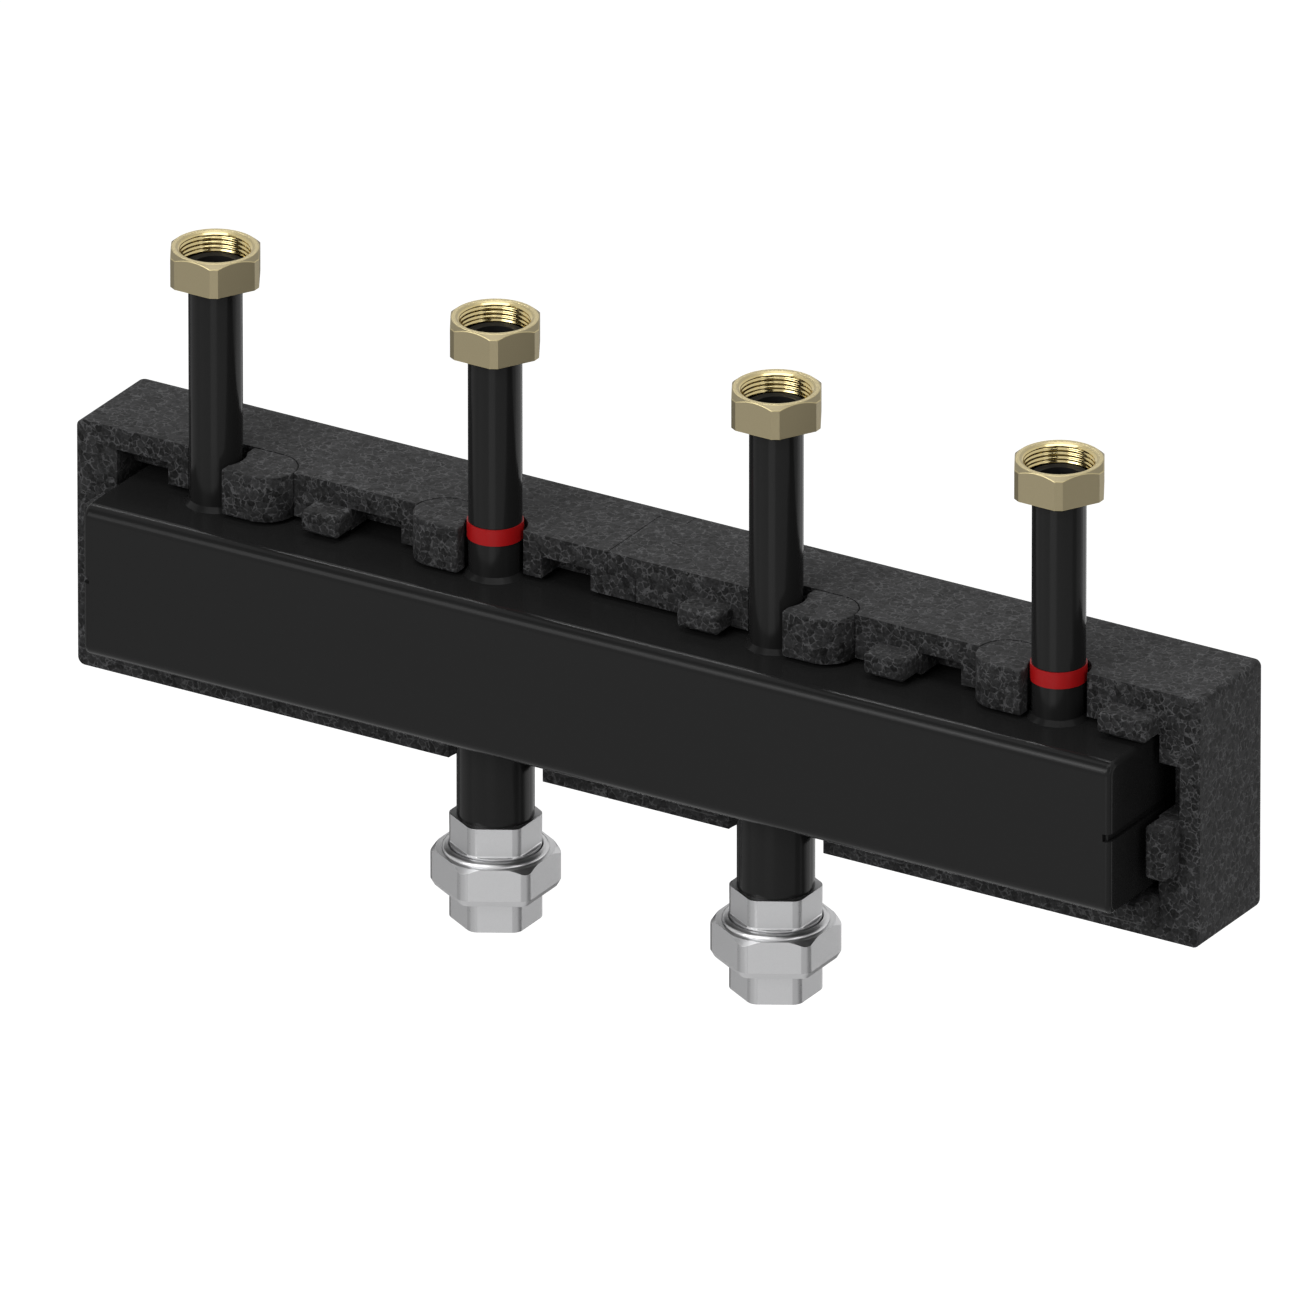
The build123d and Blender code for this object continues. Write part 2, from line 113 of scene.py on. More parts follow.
def placeCamera(plan):
    turn, rise = math.radians(plan["azimuth"]), math.radians(plan["elevation"])
    back = Vector((math.sin(turn) * math.cos(rise),
                   -math.cos(turn) * math.cos(rise), math.sin(rise)))
    data = bpy.data.cameras.new("camera")
    data.lens = plan["lens"]
    data.clip_start, data.clip_end = plan["nearest"], plan["farthest"]
    camera = addObject("camera", data)
    distance = plan["frameWidth"] * plan["lens"] / data.sensor_width
    camera.location = Vector(plan["target"]) + back * distance
    camera.rotation_mode = "QUATERNION"
    camera.rotation_quaternion = (-back).to_track_quat("-Z", "Y")
    bpy.context.scene.camera = camera


# All lamps look at the origin, which is the middle of the case's back.
lampPlan = [
    # name, place, width and height in metres, watts, only for gloss
    ("keyLamp", (-0.5, -2.35, 1.5), 1.5, 1.3, 40, False),
    ("fillLamp", (2.2, -0.9, 0.8), 1.2, 1.2, 8, False),
    ("topLamp", (0.1, -0.3, 2.2), 1.8, 1.2, 19, False),
    ("lowLamp", (0.3, -1.15, -0.36), 0.55, 0.3, 0.75, False),
    # these draw the broad and the thin light along the front bend of the steel body
    ("bendStripLow", (-1.2, -1.92, 0.85), 1.2, 1.1, 13, True),
    ("bendStripHigh", (-1.18, 1.18, 1.87), 1.2, 0.14, 7, True),
]


def placeLamps(plan):
    for name, place, width, height, watts, glossOnly in plan:
        data = bpy.data.lights.new(name, "AREA")
        data.shape = "RECTANGLE"
        data.size, data.size_y, data.energy = width, height, watts
        lamp = addObject(name, data)
        lamp.location = place
        lamp.rotation_mode = "QUATERNION"
        lamp.rotation_quaternion = (-Vector(place)).to_track_quat("-Z", "Y")
        lamp.visible_camera = False
        lamp.visible_diffuse = not glossOnly


studioPlan = {
    "skyColour": "ffffff",
    "skyLight": 0.34,      # strength for the light that falls on the object
    "skySeen": 1.0,        # strength where the sky is looked at: white
    "floorColour": "cfcfcf",
    "floorLift": 0.75,     # brings the floor up to the white of the sky
    "floorDrop": 0.8,      # how far the floor lies below the object
    "floorSize": 30.0,
}


def isSeen(tree):
    # 1 for rays from the camera, from gloss and through glass, otherwise 0
    path = addNode(tree, "ShaderNodeLightPath")
    either = addNode(tree, "ShaderNodeMath", operation="MAXIMUM",
                     sources={0: path.outputs["Is Camera Ray"], 1: path.outputs["Is Glossy Ray"]})
    return addNode(tree, "ShaderNodeMath", operation="MAXIMUM",
                   sources={0: either.outputs[0],
                            1: path.outputs["Is Transmission Ray"]}).outputs[0]


def buildSky(plan):
    world = bpy.data.worlds.new("studio")
    bpy.context.scene.world = world
    world.use_nodes = True
    tree = world.node_tree
    tree.nodes.clear()
    white = toLinear(plan["skyColour"])
    lit = addNode(tree, "ShaderNodeBackground",
                  values={"Color": white, "Strength": plan["skyLight"]})
    seen = addNode(tree, "ShaderNodeBackground",
                   values={"Color": white, "Strength": plan["skySeen"]})
    mix = addNode(tree, "ShaderNodeMixShader",
                  sources={0: isSeen(tree), 1: lit.outputs[0], 2: seen.outputs[0]})
    addNode(tree, "ShaderNodeOutputWorld", sources={"Surface": mix.outputs[0]})


# a plain pale floor, seen from above only, so that the underside can be looked at
def layFloor(plan):
    half = plan["floorSize"] / 2
    level = cadBox[0].z - plan["floorDrop"]
    corners = [(-half, -half, level), (half, -half, level),
               (half, half, level), (-half, half, level)]
    mesh = bpy.data.meshes.new("floor")
    mesh.from_pydata(corners, [], [(0, 1, 2, 3)])
    floor = addObject("floor", mesh)
    material, tree = newMaterial("paintedStudioFloor")
    matt = addNode(tree, "ShaderNodeBsdfDiffuse", values={"Color": toLinear(plan["floorColour"])})
    lift = addNode(tree, "ShaderNodeMath", operation="MULTIPLY",
                   values={1: plan["floorLift"]}, sources={0: isSeen(tree)})
    glow = addNode(tree, "ShaderNodeEmission", sources={"Strength": lift.outputs[0]})
    both = addNode(tree, "ShaderNodeAddShader", sources={0: matt.outputs[0], 1: glow.outputs[0]})
    side = addNode(tree, "ShaderNodeNewGeometry")
    clear = addNode(tree, "ShaderNodeBsdfTransparent")
    shown = addNode(tree, "ShaderNodeMixShader",
                    sources={0: side.outputs["Backfacing"], 1: both.outputs[0],
                             2: clear.outputs[0]})
    addNode(tree, "ShaderNodeOutputMaterial", sources={"Surface": shown.outputs[0]})
    mesh.materials.append(material)


# Cards stand round the object, out of the camera's sight, some dark and some bright.
# Metal and gloss need them: a turned face shows a band where it mirrors one. Only
# gloss sees them.
cardPlan = [
    # direction in degrees, distance, lowest and highest edge and width in metres, glow
    (-33, 1.7, 0.35, 5.0, 0.8, 0.004),
    (-141, 1.7, 0.35, 5.0, 0.74, 0.004),
    (6, 1.3, -0.9, 0.0, 0.4, 0.45),
    (52, 1.3, -0.9, 0.0, 0.6, 1.7),
    (112, 1.3, -0.9, 0.0, 0.4, 0.004),
    (133, 1.3, -0.9, 0.0, 0.66, 0.004),
    (160, 1.3, -0.9, 0.0, 0.66, 0.1),
    (184, 1.3, -0.9, 0.0, 0.56, 0.75),
    (211, 1.3, -0.9, 0.0, 0.7, 0.85),
    (90, 0.3, -0.9, -0.35, 1.8, 0.2),
]


def placeCards(plan):
    for index, (direction, distance, low, high, width, glow) in enumerate(plan):
        material, tree = newMaterial(f"evenStudioCard_{index}")
        even = addNode(tree, "ShaderNodeEmission", values={"Strength": glow})
        addNode(tree, "ShaderNodeOutputMaterial", sources={"Surface": even.outputs[0]})
        turn = math.radians(direction)
        middle = np.array([math.cos(turn), math.sin(turn), 0]) * distance
        side = np.array([-math.sin(turn), math.cos(turn), 0]) * width / 2
        corners = [middle - side + [0, 0, low], middle + side + [0, 0, low],
                   middle + side + [0, 0, high], middle - side + [0, 0, high]]
        mesh = bpy.data.meshes.new(f"card_{index}")
        mesh.from_pydata([corner.tolist() for corner in corners], [], [(0, 1, 2, 3)])
        mesh.materials.append(material)
        card = addObject(f"card_{index}", mesh)
        card.visible_camera = False
        card.visible_shadow, card.visible_diffuse = False, False


placeCamera(cameraPlan)
placeLamps(lampPlan)
placeCards(cardPlan)
buildSky(studioPlan)
layFloor(studioPlan)
print("camera, lamps and floor placed")


# Materials. Expanded polypropylene, steam moulded: beads about 2.8 mm wide with thin
# paler welds between them. A skin pressed on the mould is even and greyer. The parting
# face, where the two halves of the case meet, shows open beads and plain welds; its
# beads are painted darker as shade, since it is turned away from the light above.
foamPlan = {
    "beadWidth": 2.8 * mm,
    "weldWidth": 0.31 * mm,
    "skin": ("212121", "515152"),     # beads and welds on the pressed skin
    # the open beads are darker than the skin's partly as painted shade, for a face turned from the
    # light above
    "open": ("090909", "4c4c4d"),     # beads and welds on the parting face
    "partingAndShadeFacing": (-0.6, -0.1),    # forward part of the normal: all open, all skin
    "noises": {
        # waves for each bead width, detail and roughness of the noise
        "bend": (0.5, 4.0, 0.6),
        "crinkle": (1.7, 2.0, 0.5),
        "patch": (0.8, 3.0, 0.7),
        "mottle": (2.2, 3.0, 0.7),
    },
    "bendReach": 1.2,                 # how far the noise moves a bead, in bead widths
    "crinkleReach": 0.55,
    "patchRange": (0.4, 0.64),        # noise where the welds are weakest and strongest
    "weldStrength": (0.05, 1.1),
    "mottleRange": (0.4, 0.75),
    "mottleShade": 0.3,
    "beadShade": 0.24,                # how much the beads differ in shade
    "domeReach": 0.3,                 # from the weld to the bead's full height
    "beadHeight": 0.12 * mm,
    "beadBump": 0.4,
    "roughness": 0.7, "ior": 1.49, "specular": 0.1,
    "edge": 0.6 * mm, "bevelSegments": 2, "joinReach": 0.001 * mm,
    "bevelAngle": 40, "flatAngle": 1,     # degrees between two faces
}


def foamMaterial(plan):
    material, tree = newMaterial("mouldedExpandedPolypropylene")
    coordinates = addNode(tree, "ShaderNodeTexCoord")
    place = coordinates.outputs["Object"]
    noise = {key: addNode(tree, "ShaderNodeTexNoise",
                          values={"Scale": waves / plan["beadWidth"], "Detail": detail,
                                  "Roughness": rough},
                          sources={"Vector": place})
             for key, (waves, detail, rough) in plan["noises"].items()}
    # the beads are the cells of a pattern whose place is bent twice by noise
    bent = addNode(tree, "ShaderNodeVectorMath", operation="MULTIPLY_ADD",
                   values={1: (plan["beadWidth"] * plan["bendReach"],) * 3},
                   sources={0: noise["bend"].outputs["Color"], 2: place})
    shift = addNode(tree, "ShaderNodeVectorMath", operation="MULTIPLY_ADD",
                    values={1: (plan["beadWidth"] * plan["crinkleReach"],) * 3},
                    sources={0: noise["crinkle"].outputs["Color"], 2: bent.outputs[0]})
    edge, cell = [addNode(tree, "ShaderNodeTexVoronoi", feature=feature,
                          values={"Scale": 1 / plan["beadWidth"]},
                          sources={"Vector": shift.outputs[0]})
                  for feature in ("DISTANCE_TO_EDGE", "F1")]
    weld = addNode(tree, "ShaderNodeMapRange", interpolation_type="SMOOTHSTEP",
                   values={"From Min": 0.0, "From Max": plan["weldWidth"] / plan["beadWidth"],
                           "To Min": 1.0, "To Max": 0.0},
                   sources={"Value": edge.outputs["Distance"]})
    # the welds are stronger in some places than in others
    broken = addNode(tree, "ShaderNodeMapRange", interpolation_type="SMOOTHSTEP",
                     values={"From Min": plan["patchRange"][0], "From Max": plan["patchRange"][1],
                             "To Min": plan["weldStrength"][0], "To Max": plan["weldStrength"][1]},
                     sources={"Value": noise["patch"].outputs["Fac"]})
    pale = addNode(tree, "ShaderNodeMath", operation="MULTIPLY",
                   sources={0: weld.outputs[0], 1: broken.outputs[0]})
    # each bead has its own shade, and a fine mottle lies over all of them
    tint = addNode(tree, "ShaderNodeSeparateColor", sources={0: cell.outputs["Color"]})
    own = addNode(tree, "ShaderNodeMath", operation="MULTIPLY",
                  values={1: plan["beadShade"]}, sources={0: tint.outputs[0]})
    speck = addNode(tree, "ShaderNodeMapRange",
                    values={"From Min": plan["mottleRange"][0], "From Max": plan["mottleRange"][1],
                            "To Max": plan["mottleShade"]},
                    sources={"Value": noise["mottle"].outputs["Fac"]})
    ground = addNode(tree, "ShaderNodeMath", operation="ADD",
                     sources={0: own.outputs[0], 1: speck.outputs[0]})
    shade = addNode(tree, "ShaderNodeMath", operation="ADD", use_clamp=True,
                    sources={0: ground.outputs[0], 1: pale.outputs[0]})
    skin, bareShaded = [addNode(tree, "ShaderNodeMix", data_type="RGBA",
                          values={"A": toLinear(plan[key][0]), "B": toLinear(plan[key][1])},
                          sources={"Factor": shade.outputs[0]})
                  for key in ("skin", "open")]
    # a face that looks forward is a parting face, and takes the open colours, darker partly as
    # painted shade
    facing = addNode(tree, "ShaderNodeSeparateXYZ", sources={0: coordinates.outputs["Normal"]})
    forward = addNode(tree, "ShaderNodeMapRange", interpolation_type="SMOOTHSTEP",
                      values={"From Min": plan["partingAndShadeFacing"][0],
                              "From Max": plan["partingAndShadeFacing"][1],
                              "To Min": 1.0, "To Max": 0.0},
                      sources={"Value": facing.outputs["Y"]})
    colour = addNode(tree, "ShaderNodeMix", data_type="RGBA",
                     sources={"Factor": forward.outputs[0], "A": skin.outputs["Result"],
                              "B": bareShaded.outputs["Result"]})
    dome = addNode(tree, "ShaderNodeMapRange", interpolation_type="SMOOTHSTEP",
                   values={"From Min": 0.0, "From Max": plan["domeReach"]},
                   sources={"Value": edge.outputs["Distance"]})
    bump = addNode(tree, "ShaderNodeBump",
                   values={"Strength": plan["beadBump"], "Distance": plan["beadHeight"]},
                   sources={"Height": dome.outputs[0]})
    shader = addNode(tree, "ShaderNodeBsdfPrincipled",
                     values={"Roughness": plan["roughness"], "IOR": plan["ior"],
                             "Specular IOR Level": plan["specular"]},
                     sources={"Base Color": colour.outputs["Result"],
                              "Normal": bump.outputs[0]})
    addNode(tree, "ShaderNodeOutputMaterial", sources={"Surface": shader.outputs[0]})
    return material


noiseRange = (0.3, 0.7)     # most values of a noise lie between these


# The end that the plain finishes share: one pattern spreads the roughness about its
# middle, one raises the surface, and the shader has the rest as fixed values.
def finishSurface(tree, plan, roughness, spreading, raising, values):
    rough = addNode(tree, "ShaderNodeMapRange",
                    values={"From Min": noiseRange[0], "From Max": noiseRange[1],
                            "To Min": roughness - plan["spread"],
                            "To Max": roughness + plan["spread"]},
                    sources={"Value": spreading.outputs["Fac"]})
    bump = addNode(tree, "ShaderNodeBump",
                   values={"Strength": plan["bump"], "Distance": plan["height"]},
                   sources={"Height": raising.outputs["Fac"]})
    shader = addNode(tree, "ShaderNodeBsdfPrincipled", values=values,
                     sources={"Roughness": rough.outputs[0], "Normal": bump.outputs[0]})
    addNode(tree, "ShaderNodeOutputMaterial", sources={"Surface": shader.outputs[0]})


# Powder coat, sprayed and stoved on steel: an even satin film with a faint orange peel.
coatPlan = {
    "colour": "1d1d1d", "roughness": 0.17, "spread": 0.03, "ior": 1.5, "specular": 0.08,
    "peelWidth": 1.6 * mm, "peelDetail": 1.5, "bump": 0.5, "height": 0.006 * mm,
    "hazeScale": 22.0,      # waves in a metre, one in 45 mm
    "hazeDetail": 3.0,
}


def coatMaterial(plan):
    material, tree = newMaterial("satinPowderCoatOnSteel")
    place = addNode(tree, "ShaderNodeTexCoord").outputs["Object"]
    peel = addNode(tree, "ShaderNodeTexNoise",
                   values={"Scale": 1 / plan["peelWidth"], "Detail": plan["peelDetail"]},
                   sources={"Vector": place})
    haze = addNode(tree, "ShaderNodeTexNoise",
                   values={"Scale": plan["hazeScale"], "Detail": plan["hazeDetail"]},
                   sources={"Vector": place})
    finishSurface(tree, plan, plan["roughness"], haze, peel,
                  {"Base Color": toLinear(plan["colour"]), "IOR": plan["ior"],
                   "Specular IOR Level": plan["specular"]})
    return material


# A blank metal face, drawn or blasted: soft, even sheen with a fine grit.
blankPlan = {"detail": 3.0, "grain": 0.6, "spread": 0.06, "bump": 0.35, "height": 0.01 * mm}


def blankMetal(name, colour, roughness, gritWidth, plan=blankPlan):
    material, tree = newMaterial(name)
    place = addNode(tree, "ShaderNodeTexCoord").outputs["Object"]
    grit = addNode(tree, "ShaderNodeTexNoise",
                   values={"Scale": 1 / gritWidth, "Detail": plan["detail"],
                           "Roughness": plan["grain"]},
                   sources={"Vector": place})
    finishSurface(tree, plan, roughness, grit, grit,
                  {"Base Color": toLinear(colour), "Metallic": 1.0})
    return material


# A turned metal face: bright, with fine rings from the tool, 0.25 mm apart so that
# they show. The second UV value runs along the profile, in millimetres.
turnedPlan = {
    "ringScale": (0.4, 4.0, 1.0),     # waves in a full turn, and in a millimetre
    "detail": 2.0, "spread": 0.05, "bump": 0.1, "height": 0.004 * mm,
}


def turnedMetal(name, colour, roughness, plan=turnedPlan):
    material, tree = newMaterial(name)
    along = addNode(tree, "ShaderNodeUVMap", uv_map="profile")
    rings = addNode(tree, "ShaderNodeMapping", values={"Scale": plan["ringScale"]},
                    sources={"Vector": along.outputs[0]})
    marks = addNode(tree, "ShaderNodeTexNoise", noise_dimensions="2D",
                    values={"Scale": 1.0, "Detail": plan["detail"]},
                    sources={"Vector": rings.outputs[0]})
    finishSurface(tree, plan, roughness, marks, marks,
                  {"Base Color": toLinear(colour), "Metallic": 1.0})
    return material


# Rubber or plastic, pressed in a mould: one colour with a fine, uneven matt skin.
skinPlan = {"detail": 3.0, "ior": 1.5, "spread": 0.04, "bump": 0.3, "height": 0.01 * mm}


def mouldedSkin(name, colour, roughness, grainWidth, specular, plan=skinPlan):
    material, tree = newMaterial(name)
    place = addNode(tree, "ShaderNodeTexCoord").outputs["Object"]
    grain = addNode(tree, "ShaderNodeTexNoise",
                    values={"Scale": 1 / grainWidth, "Detail": plan["detail"]},
                    sources={"Vector": place})
    finishSurface(tree, plan, roughness, grain, grain,
                  {"Base Color": toLinear(colour), "IOR": plan["ior"],
                   "Specular IOR Level": specular})
    return material


foam = foamMaterial(foamPlan)
coat = coatMaterial(coatPlan)
# name, colour, roughness, then the width of the grit or grain, then the specular level
brassBlank = blankMetal("drawnBrassFlats", "867d64", 0.46, 0.35 * mm)
brassTurned = turnedMetal("turnedBrass", "a99d78", 0.42)
brassThread = turnedMetal("threadCutBrass", "c2b282", 0.13)
zincBlank = blankMetal("zincPlatedIronFlats", "a8a8a9", 0.5, 0.5 * mm)
# corners: a darker copy of the zinc, painted shade for the dark bands on the rounded corners of
# the unions
zincCornerShade = blankMetal("zincPlatedIronCornersPaintedShade", "969697", 0.32, 0.5 * mm)
zincTurned = turnedMetal("zincPlatedIronTurned", "c2c2c3", 0.32)
gasketRubber = mouldedSkin("pressedGasketRubber", "151515", 0.55, 0.6 * mm, 0.3)
ringPlastic = mouldedSkin("extrudedRedPlastic", "9a0f11", 0.4, 1.5 * mm, 0.15)

brassFinishes = [brassBlank, brassTurned, brassThread]
zincFinishes = [zincBlank, zincTurned, zincCornerShade]
blank, turned, threadCut, roundCorner = 0, 1, 2, 2      # places in those two lists
print("materials made")


# Surfaces. A hexagon has a corner every sixth of a turn, and a flat's middle is half
# of that away from it.
sixth, halfFlat = math.pi / 3, math.pi / 6
meshPlan = {
    "mergeReach": 0.002 * mm, "sliverReach": 0.001 * mm,
    "sharpAngle": 28, "bevelAngle": 32,      # degrees between two faces
    "bevelSegments": 2,
    "angleDigits": 9,       # decimals that tell two columns apart
}


# Surface from a grid of points: quads join each point to the next row and column, and
# the columns close round the axis. Rows close too, so the skin is one closed ring.
# rowMaterial gives the material of the strip that starts at each row, as one number or
# as one for each column.
def ringMesh(name, points, rowMaterial, materials, openSeam=False):
    rows, cols = points.shape[:2]
    lastCol = cols - 1 if openSeam else cols
    r, c = [a.ravel() for a in np.meshgrid(np.arange(rows), np.arange(lastCol), indexing="ij")]
    r2, c2 = (r + 1) % rows, (c + 1) % cols
    quads = np.stack([r * cols + c, r * cols + c2, r2 * cols + c2, r2 * cols + c], 1)
    mesh = bpy.data.meshes.new(name)
    mesh.from_pydata(points.reshape(-1, 3).tolist(), [], quads.tolist())
    # the UV map holds the share of a turn, and millimetres along the profile
    steps = np.linalg.norm(np.diff(points[:, 0], axis=0, append=points[:1, 0]), axis=1) / mm
    down = np.concatenate([[0], np.cumsum(steps)])
    u = np.stack([c, c + 1, c + 1, c], 1) / lastCol
    v = np.stack([down[r], down[r], down[r + 1], down[r + 1]], 1)
    layer = mesh.uv_layers.new(name="profile")
    layer.data.foreach_set("uv", np.stack([u, v], 2).astype(np.float32).ravel())
    for material in materials:
        mesh.materials.append(material)
    chosen = np.stack([np.broadcast_to(m, cols) for m in rowMaterial])
    mesh.polygons.foreach_set("material_index", chosen[r, c].astype(np.int32))
    work = bmesh.new()
    work.from_mesh(mesh)
    bmesh.ops.remove_doubles(work, verts=work.verts, dist=meshPlan["mergeReach"])
    bmesh.ops.dissolve_degenerate(work, edges=work.edges, dist=meshPlan["sliverReach"])
    bmesh.ops.recalc_face_normals(work, faces=work.faces)
    work.to_mesh(mesh)
    work.free()
    mesh.shade_smooth()
    mesh.set_sharp_from_angle(angle=math.radians(meshPlan["sharpAngle"]))
    return mesh


def newPiece(name, mesh, body, slotName, *nodes):
    piece = addObject(name, mesh)
    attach(piece, body)
    if nodes:
        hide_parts(*nodes)
    return piece


# Rounds the crisp edges of a piece by a small radius. A material of -1 keeps that of
# the faces beside the edge.
def easeEdges(piece, width, material=-1):
    bevel = piece.modifiers.new("easedEdges", "BEVEL")
    bevel.width, bevel.segments = width, meshPlan["bevelSegments"]
    bevel.limit_method, bevel.angle_limit = "ANGLE", math.radians(meshPlan["bevelAngle"])
    bevel.harden_normals = True
    bevel.use_clamp_overlap = True
    bevel.material = material


# Angle from the nearest corner of a hexagon, from minus to plus half a sector
def angleFromCorner(angle, firstCorner):
    return (angle - firstCorner + halfFlat) % sixth - halfFlat


# How far a rounded corner reaches on each side of the corner's middle. The arc ends
# where the flat begins, which is as far along the flat as the arc's centre.
def cornerReach(flats, cornerRadius):
    inner = flats / 2 - cornerRadius
    return halfFlat - math.atan(inner * math.tan(halfFlat) / (flats / 2))


# Distance from the axis to the small flat that cuts a hexagon's corner: the corner's
# own distance, less half the width of that flat over the tangent of 60 degrees
def cutCorner(flats, cornerWidth):
    return flats / math.sqrt(3) - cornerWidth / 2 / math.tan(math.radians(60))


# Distance from the axis to a hexagon's outline in the direction of each angle. On a
# flat it is half the width over flats, divided by the cosine of the angle from the
# flat's middle. A corner is an arc of cornerRadius, or a small flat cornerWidth wide.
def hexRadius(angle, flats, firstCorner, cornerRadius=0.0, cornerWidth=0.0):
    fromCorner = angleFromCorner(angle, firstCorner)
    radius = flats / 2 / np.cos(halfFlat - np.abs(fromCorner))
    if cornerWidth:
        radius = np.minimum(radius, cutCorner(flats, cornerWidth) / np.cos(fromCorner))
    if cornerRadius:
        centre = (flats / 2 - cornerRadius) / math.cos(halfFlat)
        reach = cornerReach(flats, cornerRadius)
        bend = np.clip(np.abs(fromCorner), 0, reach)
        arc = centre * np.cos(bend) + np.sqrt(cornerRadius ** 2 - (centre * np.sin(bend)) ** 2)
        radius = np.where(np.abs(fromCorner) < reach, arc, radius)
    return radius


# The angles of the columns round a hexagon: even steps, with one at each break, so
# that edges fall on columns.
def hexAngles(firstCorner, breaks, steps):
    digits = meshPlan["angleDigits"]
    inside = [b for b in breaks if 0 < b < halfFlat]
    half = np.unique(np.round(np.concatenate([np.linspace(0, halfFlat, steps), inside]), digits))
    sector = np.concatenate([-half[::-1][:-1], half[:-1]])
    whole = np.concatenate([firstCorner + k * sixth + sector for k in range(6)])
    return np.unique(np.round(whole, digits))


# Points of a ring piece: each row is (radius, height), as numbers or one per column.
def sweepRows(rows, angles, x, y):
    radius = np.stack([np.broadcast_to(r, angles.shape) for r, _ in rows])
    height = np.stack([np.broadcast_to(z, angles.shape) for _, z in rows])
    return np.stack([x + radius * np.cos(angles), y + radius * np.sin(angles), height], 2) * mm


def pipeAxis(node):
    low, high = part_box(node)
    return (low.x + high.x) / 2 / mm, (low.y + high.y) / 2 / mm


threadPlan = {
    "pitch": 1.814,      # millimetres, as on G 3/4
    "depth": 0.6,        # from the crest at the bore out to the root in the wall
    "crestRadius": 13.3,
    "backing": 0.12,     # how far the ring reaches past the root into the metal
    "columns": 96,
    "rowsPerTurn": 14,
    "runOut": 0.5,       # share of a turn in which the thread fades at its far end
}


# Ring of thread in a wall: the rows follow the helix, so height grows by one pitch per
# turn, and the radius swings from crest to root as a cosine within each pitch. The
# cone of the mouth, mouthRadius less slope times the depth, cuts the first turn, and
# the thread runs out at its far end. The ring's back lies inside the metal.
def threadRing(plan, x, y, low, high, mouth, mouthRadius, slope):
    count = plan["rowsPerTurn"]
    wave = 0.5 + 0.5 * np.cos(np.arange(count) / count * 2 * math.pi)
    turns = math.ceil((high - low) / plan["pitch"]) + 1
    angles = np.linspace(0, 2 * math.pi, plan["columns"] + 1)
    index = np.arange(-count, turns * count + 1)
    climb = index[:, None] / count + angles[None, :] / (2 * math.pi)
    height = np.clip(low + climb * plan["pitch"], low, high)
    fromEnd = height - low if mouth == "top" else high - height
    fromMouth = high - height if mouth == "top" else height - low
    fade = np.clip(fromEnd / (plan["runOut"] * plan["pitch"]), 0, 1)
    radius = plan["crestRadius"] + plan["depth"] * wave[index % count][:, None] * fade
    radius = np.maximum(radius, mouthRadius - slope * fromMouth)
    outermost = max(plan["crestRadius"] + plan["depth"], mouthRadius)
    back = np.full_like(angles, outermost + plan["backing"])
    rows = [(back, low), *zip(radius, height), (back, high)]
    return sweepRows(rows, angles, x, y)


# Brass union nuts, in millimetres. The first corner is at 0 degrees.
nutPlan = {
    "flats": 33.9, "cornerWidth": 3.2, "low": 124.3, "high": 138.0,
    "faceRadius": 16.6, "faceDrop": 1.7, "mouthRadius": 15.1, "mouthDepth": 1.2,
    "threadTop": 137.4, "threadLow": 130.2, "reliefRadius": 13.6,
    "lip": 2.0, "lipRadius": 10.7, "edge": 0.28 * mm, "firstCorner": 0, "steps": 10,
}


def brassNut(name, plan):
    x, y = pipeAxis(f"union_nut_{name}")
    rim = cutCorner(plan["flats"], plan["cornerWidth"])
    angles = hexAngles(plan["firstCorner"], [math.atan(plan["cornerWidth"] / 2 / rim)],
                       plan["steps"])
    hexagon = hexRadius(angles, plan["flats"], plan["firstCorner"],
                        cornerWidth=plan["cornerWidth"])
    # the bevel of the face is a cone, which cuts each flat in a curve
    slope = plan["faceDrop"] / (rim - plan["faceRadius"])
    shoulder = plan["high"] - (hexagon - plan["faceRadius"]) * slope
    cone = (plan["mouthRadius"] - threadPlan["crestRadius"]) / plan["mouthDepth"]
    seatRadius = plan["mouthRadius"] - cone * (plan["high"] - plan["threadTop"])
    lipTop = plan["low"] + plan["lip"]
    rows = [
        (plan["lipRadius"], plan["low"]), (hexagon, plan["low"]), (hexagon, shoulder),
        (plan["faceRadius"], plan["high"]), (plan["mouthRadius"], plan["high"]),
        (seatRadius, plan["threadTop"]), (seatRadius, plan["threadLow"]),
        (plan["reliefRadius"], plan["threadLow"]), (plan["reliefRadius"], lipTop),
        (plan["lipRadius"], lipTop),
    ]
    # flats and face bevel are blank, the face and the bottom turned, the inside bright
    strips = [turned, blank, blank, turned, turned] + [threadCut] * 5
    mesh = ringMesh(f"brassNut_{name}", sweepRows(rows, angles, x, y), strips, brassFinishes)
    piece = newPiece(f"brassNut_{name}", mesh, f"nut_{name}", "brass", f"union_nut_{name}")
    easeEdges(piece, plan["edge"], material=turned)
    threadLow = plan["threadLow"] - threadPlan["backing"]
    points = threadRing(threadPlan, x, y, threadLow, plan["threadTop"], "top", seatRadius, cone)
    ring = ringMesh(f"nutThread_{name}", points, [0] * len(points), [brassThread], openSeam=True)
    newPiece(f"nutThread_{name}", ring, f"nut_{name}", "brass")


for name in topPipes:
    brassNut(name, nutPlan)
print("brass nuts made")


